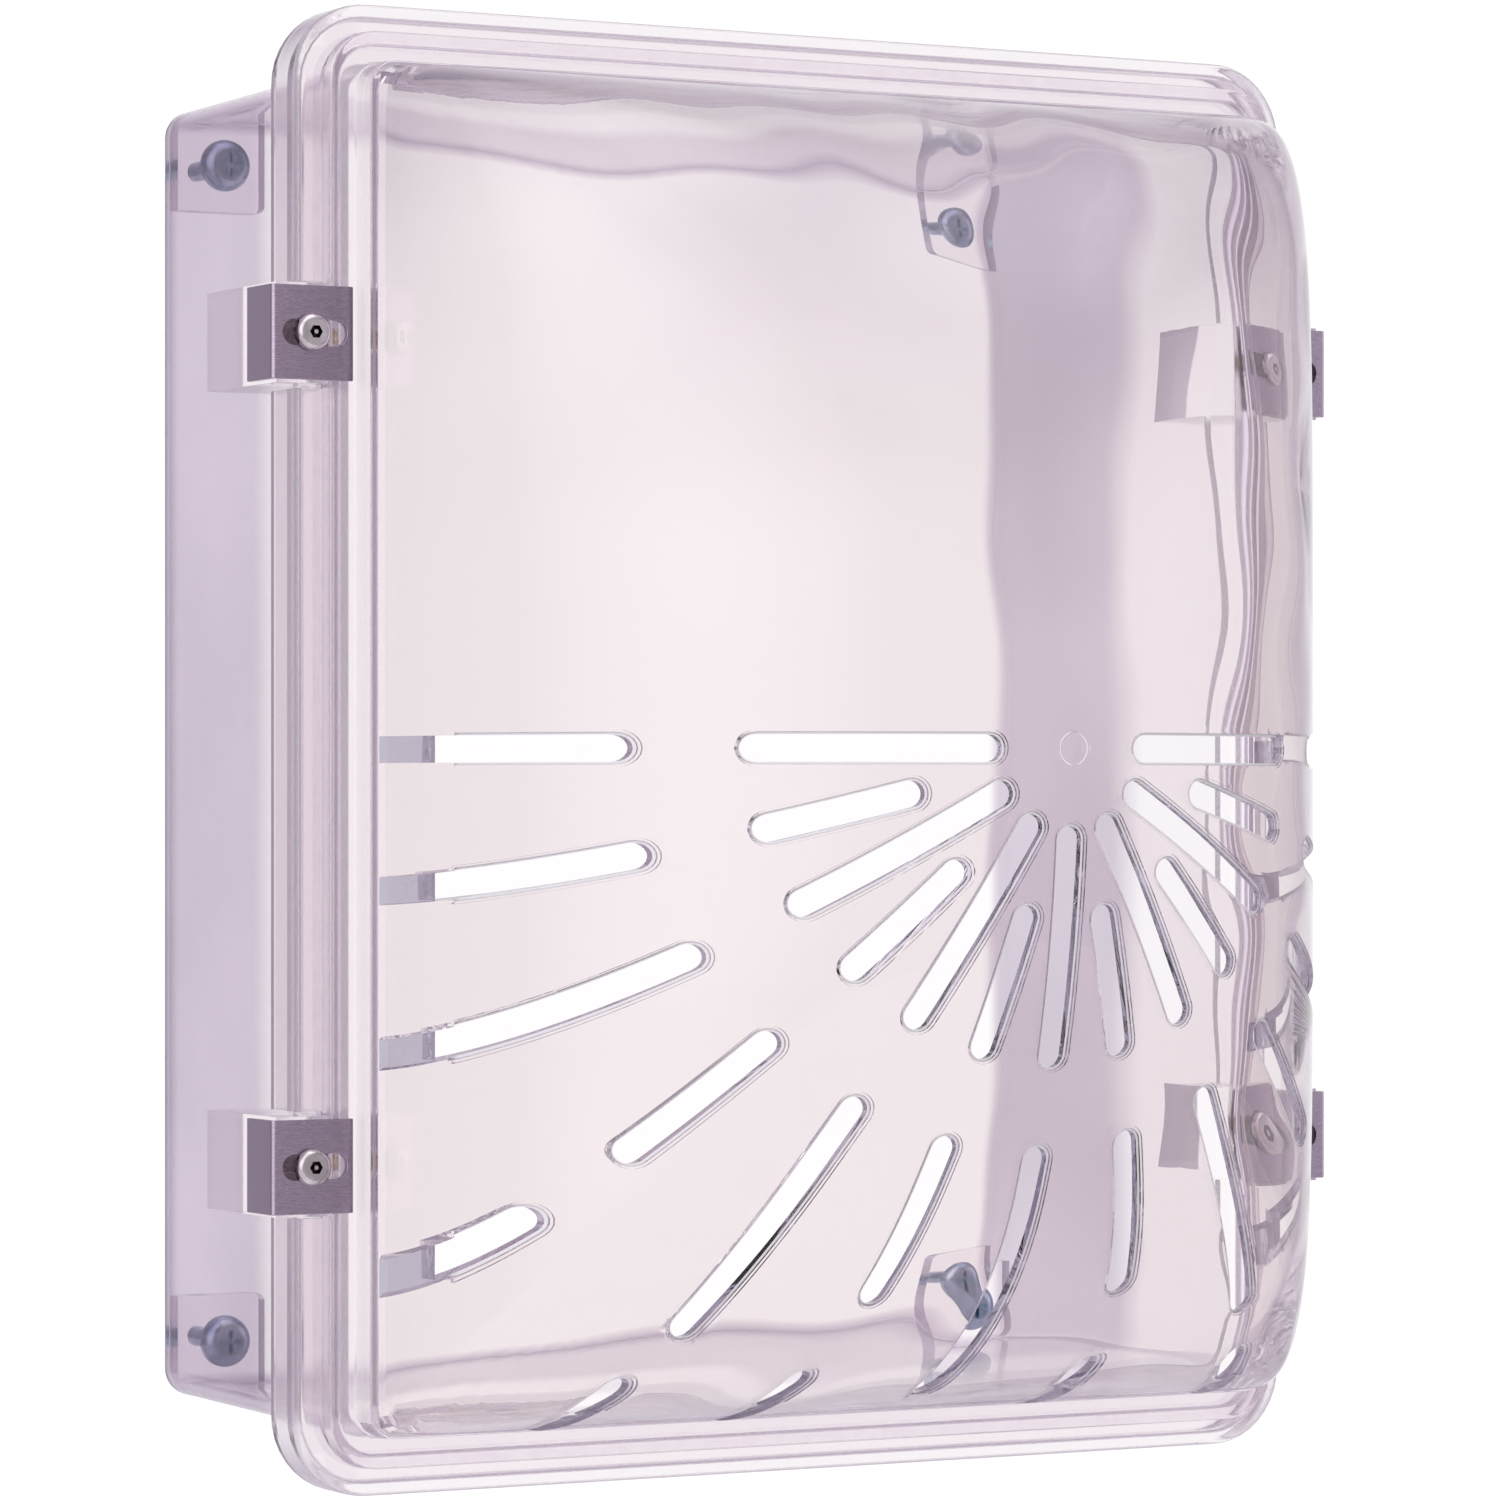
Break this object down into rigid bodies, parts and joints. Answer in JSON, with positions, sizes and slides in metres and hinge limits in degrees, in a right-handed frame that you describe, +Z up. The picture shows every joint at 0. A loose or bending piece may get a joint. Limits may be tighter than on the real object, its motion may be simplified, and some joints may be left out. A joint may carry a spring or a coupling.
{
  "type": "device protective cover",
  "caption": "Clear wall-mounted protective cover: a tray with a screw-held domed front whose lower half has rays of open slots, clamped by sliding L clips.",
  "frame": {"origin": "centre of the rear face that lies on the wall", "axes": "+Z up, +X to the right seen from the front, the front faces -Y and +Y points into the wall"},
  "size_m": [0.34, 0.2832, 0.405],
  "materials": {
    "cover_clear": "clear moulded polycarbonate, glossy",
    "tray_clear": "clear moulded polycarbonate, glossy",
    "block_clear": "clear cast blocks",
    "gasket": "translucent silicone",
    "stainless": "brushed stainless strip",
    "screw_steel": "bright stainless",
    "brass_insert": "turned",
    "zinc": "bright blue zinc plate"
  },
  "bodies": {
    "housing": {"back_box": "tray_clear", "cover": "cover_clear", "cover_gasket": "gasket", "clip_insert_left_upper": "brass_insert", "clip_insert_left_lower": "brass_insert", "clip_insert_right_upper": "brass_insert", "clip_insert_right_lower": "brass_insert", "mount_screw_left_upper": "zinc", "mount_screw_left_lower": "zinc", "mount_screw_right_upper": "zinc", "mount_screw_right_lower": "zinc", "corner_block_left_upper": "block_clear", "corner_block_left_lower": "block_clear", "corner_block_right_upper": "block_clear", "corner_block_right_lower": "block_clear"},
    "clip_left_upper": {"clip_left_upper": "stainless"},
    "clip_screw_left_upper": {"clip_screw_left_upper": "screw_steel"},
    "clip_left_lower": {"clip_left_lower": "stainless"},
    "clip_screw_left_lower": {"clip_screw_left_lower": "screw_steel"},
    "clip_right_upper": {"clip_right_upper": "stainless"},
    "clip_screw_right_upper": {"clip_screw_right_upper": "screw_steel"},
    "clip_right_lower": {"clip_right_lower": "stainless"},
    "clip_screw_right_lower": {"clip_screw_right_lower": "screw_steel"}
  },
  "joints": [
    {"name": "slide_clip_left_upper", "type": "slide", "parent": "housing", "child": "clip_left_upper", "axis": [-1, 0, 0], "range_m": [0, 0.0078]},
    {"name": "turn_clip_screw_left_upper", "type": "hinge", "parent": "housing", "child": "clip_screw_left_upper", "pos_m": [-0.1585, -0.13, 0.112], "axis": [0, -1, 0], "continuous": true},
    {"name": "slide_clip_left_lower", "type": "slide", "parent": "housing", "child": "clip_left_lower", "axis": [-1, 0, 0], "range_m": [0, 0.0078]},
    {"name": "turn_clip_screw_left_lower", "type": "hinge", "parent": "housing", "child": "clip_screw_left_lower", "pos_m": [-0.1585, -0.13, -0.112], "axis": [0, -1, 0], "continuous": true},
    {"name": "slide_clip_right_upper", "type": "slide", "parent": "housing", "child": "clip_right_upper", "axis": [1, 0, 0], "range_m": [0, 0.0078]},
    {"name": "turn_clip_screw_right_upper", "type": "hinge", "parent": "housing", "child": "clip_screw_right_upper", "pos_m": [0.1585, -0.13, 0.112], "axis": [0, -1, 0], "continuous": true},
    {"name": "slide_clip_right_lower", "type": "slide", "parent": "housing", "child": "clip_right_lower", "axis": [1, 0, 0], "range_m": [0, 0.0078]},
    {"name": "turn_clip_screw_right_lower", "type": "hinge", "parent": "housing", "child": "clip_screw_right_lower", "pos_m": [0.1585, -0.13, -0.112], "axis": [0, -1, 0], "continuous": true}
  ]
}
